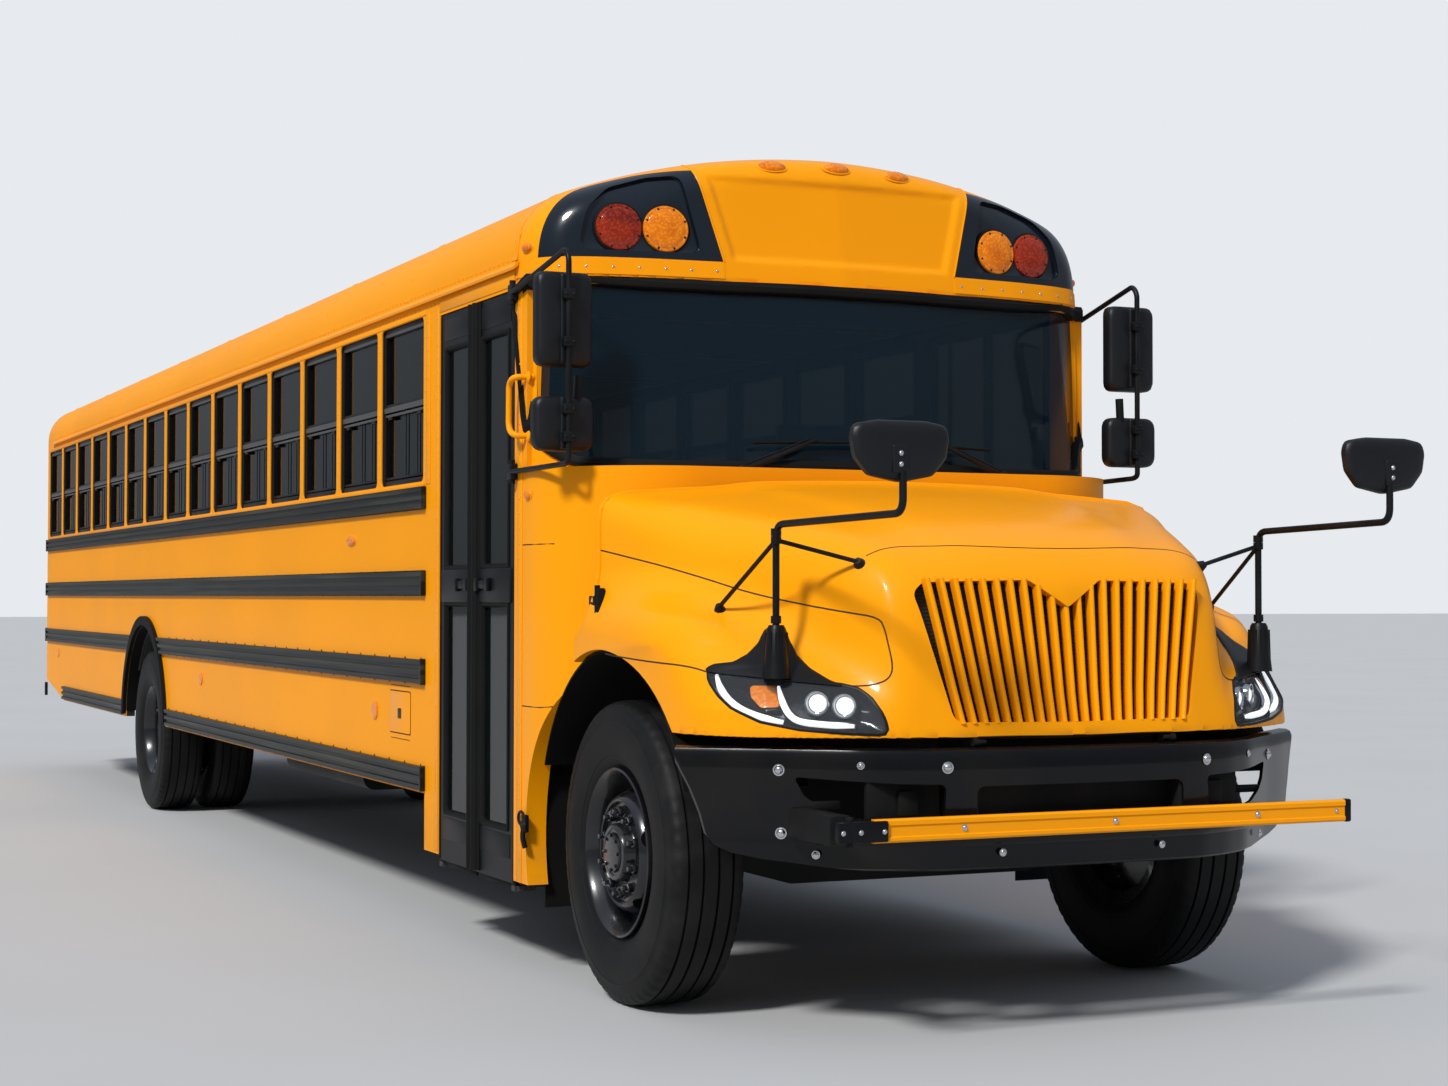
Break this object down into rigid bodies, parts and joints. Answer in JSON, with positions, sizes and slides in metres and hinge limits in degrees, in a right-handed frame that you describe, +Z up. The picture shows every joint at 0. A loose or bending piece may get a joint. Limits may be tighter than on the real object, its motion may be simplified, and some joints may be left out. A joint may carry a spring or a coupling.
{
  "type": "school bus",
  "caption": "Yellow conventional school bus with a tilting hood, twin entrance leaves, stop sign, crossing gate, roof hatches and rear emergency door.",
  "frame": {"origin": "on the ground under the middle of the whole bus", "axes": "+Z up, the bus faces -Y, +X to the driver's side"},
  "size_m": [2.65, 14.253, 3.166],
  "materials": {
    "yellow_paint": "gloss school-bus yellow",
    "black_paint": "gloss black",
    "frame_paint": "satin black chassis paint",
    "rub_rail_paint": "satin black",
    "tyre_rubber": "matt",
    "black_rubber": "matt",
    "rim_paint": "satin black",
    "clear_glass": "tinted safety glass",
    "sash_black": "black anodised",
    "red_lens": "moulded lens",
    "amber_lens": "moulded lens",
    "headlight_lens": "clear lens over chrome and black",
    "mirror_shell": "grained",
    "floor_rubber": "ribbed",
    "seat_vinyl": "dark blue vinyl",
    "dash_plastic": "grained",
    "sign_red": "reflective",
    "cast_iron": "rough",
    "tank_steel": "satin black",
    "muffler_steel": "dull",
    "radiator_black": "finned"
  },
  "bodies": {
    "root": {"chassis_frame": "frame_paint", "tow_eyes": "frame_paint", "front_axle": "frame_paint", "rear_axle": "cast_iron", "leaf_springs": "frame_paint", "engine_block": "cast_iron", "radiator": "radiator_black", "driveshaft": "frame_paint", "fuel_tank": "tank_steel", "exhaust": "muffler_steel", "floor": "floor_rubber", "stepwell": "floor_rubber", "right_wall": "yellow_paint", "left_wall": "yellow_paint", "sash_frames": "sash_black", "body_glass": "clear_glass", "rear_wall": "yellow_paint", "roof": "yellow_paint", "front_cap": "yellow_paint", "windshield_frame": "yellow_paint", "windshield": "clear_glass", "cowl": "yellow_paint", "rub_rails": "rub_rail_paint", "mud_guards": "black_rubber", "front_bumper": "black_paint", "rear_bumper": "black_paint", "red_lamps": "red_lens", "amber_lamps": "amber_lens", "side_mirrors": "mirror_shell", "wipers": "black_rubber", "seat_cushions": "seat_vinyl", "seat_backs": "seat_vinyl", "driver_seat": "seat_vinyl", "dashboard": "dash_plastic", "steering_wheel": "dash_plastic", "sign_bracket": "black_paint"},
    "hood": {"hood": "yellow_paint", "grille": "yellow_paint", "headlights": "headlight_lens", "crossover_mirrors": "mirror_shell"},
    "door_front": {"door_leaf_front": "black_paint", "door_glass_front": "clear_glass"},
    "door_rear": {"door_leaf_rear": "black_paint", "door_glass_rear": "clear_glass"},
    "emergency_door": {"emergency_door": "yellow_paint", "emergency_glass": "clear_glass"},
    "stop_sign": {"stop_sign": "sign_red"},
    "crossing_gate": {"crossing_gate": "yellow_paint"},
    "hatch_front": {"hatch_front": "yellow_paint"},
    "hatch_rear": {"hatch_rear": "yellow_paint"},
    "knuckle_right": {"knuckle_right": "frame_paint"},
    "knuckle_left": {"knuckle_left": "frame_paint"},
    "wheel_front_right": {"front_tyre_right": "tyre_rubber", "front_rim_right": "rim_paint"},
    "wheel_front_left": {"front_tyre_left": "tyre_rubber", "front_rim_left": "rim_paint"},
    "wheels_rear_right": {"rear_tyres_right": "tyre_rubber", "rear_rims_right": "rim_paint"},
    "wheels_rear_left": {"rear_tyres_left": "tyre_rubber", "rear_rims_left": "rim_paint"}
  },
  "joints": [
    {"name": "hood_tilt", "type": "hinge", "parent": "root", "child": "hood", "pos_m": [0, -6.625, 0.95], "axis": [1, 0, 0], "range_deg": [0, 55]},
    {"name": "door_front_swing", "type": "hinge", "parent": "root", "child": "door_front", "pos_m": [-1.205, -4.644, 1.4], "axis": [0, 0, 1], "range_deg": [0, 90]},
    {"name": "door_rear_swing", "type": "hinge", "parent": "root", "child": "door_rear", "pos_m": [-1.205, -3.739, 1.4], "axis": [0, 0, -1], "range_deg": [0, 90]},
    {"name": "emergency_door_swing", "type": "hinge", "parent": "root", "child": "emergency_door", "pos_m": [-0.435, 7.022, 1.7], "axis": [0, 0, 1], "range_deg": [0, 90]},
    {"name": "stop_sign_swing", "type": "hinge", "parent": "root", "child": "stop_sign", "pos_m": [1.261, -3.605, 1.64], "axis": [0, 0, -1], "range_deg": [0, 90]},
    {"name": "gate_swing", "type": "hinge", "parent": "root", "child": "crossing_gate", "pos_m": [-0.895, -6.77, 0.7], "axis": [0, 0, -1], "range_deg": [0, 90]},
    {"name": "hatch_front_lift", "type": "hinge", "parent": "root", "child": "hatch_front", "pos_m": [0, -1.51, 3.1353], "axis": [1, 0, 0], "range_deg": [0, 50]},
    {"name": "hatch_rear_lift", "type": "hinge", "parent": "root", "child": "hatch_rear", "pos_m": [0, 3.39, 3.1353], "axis": [1, 0, 0], "range_deg": [0, 50]},
    {"name": "steer_right", "type": "hinge", "parent": "root", "child": "knuckle_right", "pos_m": [-0.87, -5.495, 0.525], "axis": [0, 0, 1], "range_deg": [-35, 35]},
    {"name": "steer_left", "type": "hinge", "parent": "root", "child": "knuckle_left", "pos_m": [0.87, -5.495, 0.525], "axis": [0, 0, 1], "range_deg": [-35, 35]},
    {"name": "wheel_front_right_spin", "type": "hinge", "parent": "knuckle_right", "child": "wheel_front_right", "pos_m": [-1.01, -5.495, 0.525], "axis": [1, 0, 0], "continuous": true},
    {"name": "wheel_front_left_spin", "type": "hinge", "parent": "knuckle_left", "child": "wheel_front_left", "pos_m": [1.01, -5.495, 0.525], "axis": [1, 0, 0], "continuous": true},
    {"name": "wheels_rear_right_spin", "type": "hinge", "parent": "root", "child": "wheels_rear_right", "pos_m": [-0.895, 2.705, 0.525], "axis": [1, 0, 0], "continuous": true},
    {"name": "wheels_rear_left_spin", "type": "hinge", "parent": "root", "child": "wheels_rear_left", "pos_m": [0.895, 2.705, 0.525], "axis": [1, 0, 0], "continuous": true}
  ],
  "couplings": [
    {"joint": "steer_left", "follows": "steer_right", "ratio": 1}
  ]
}
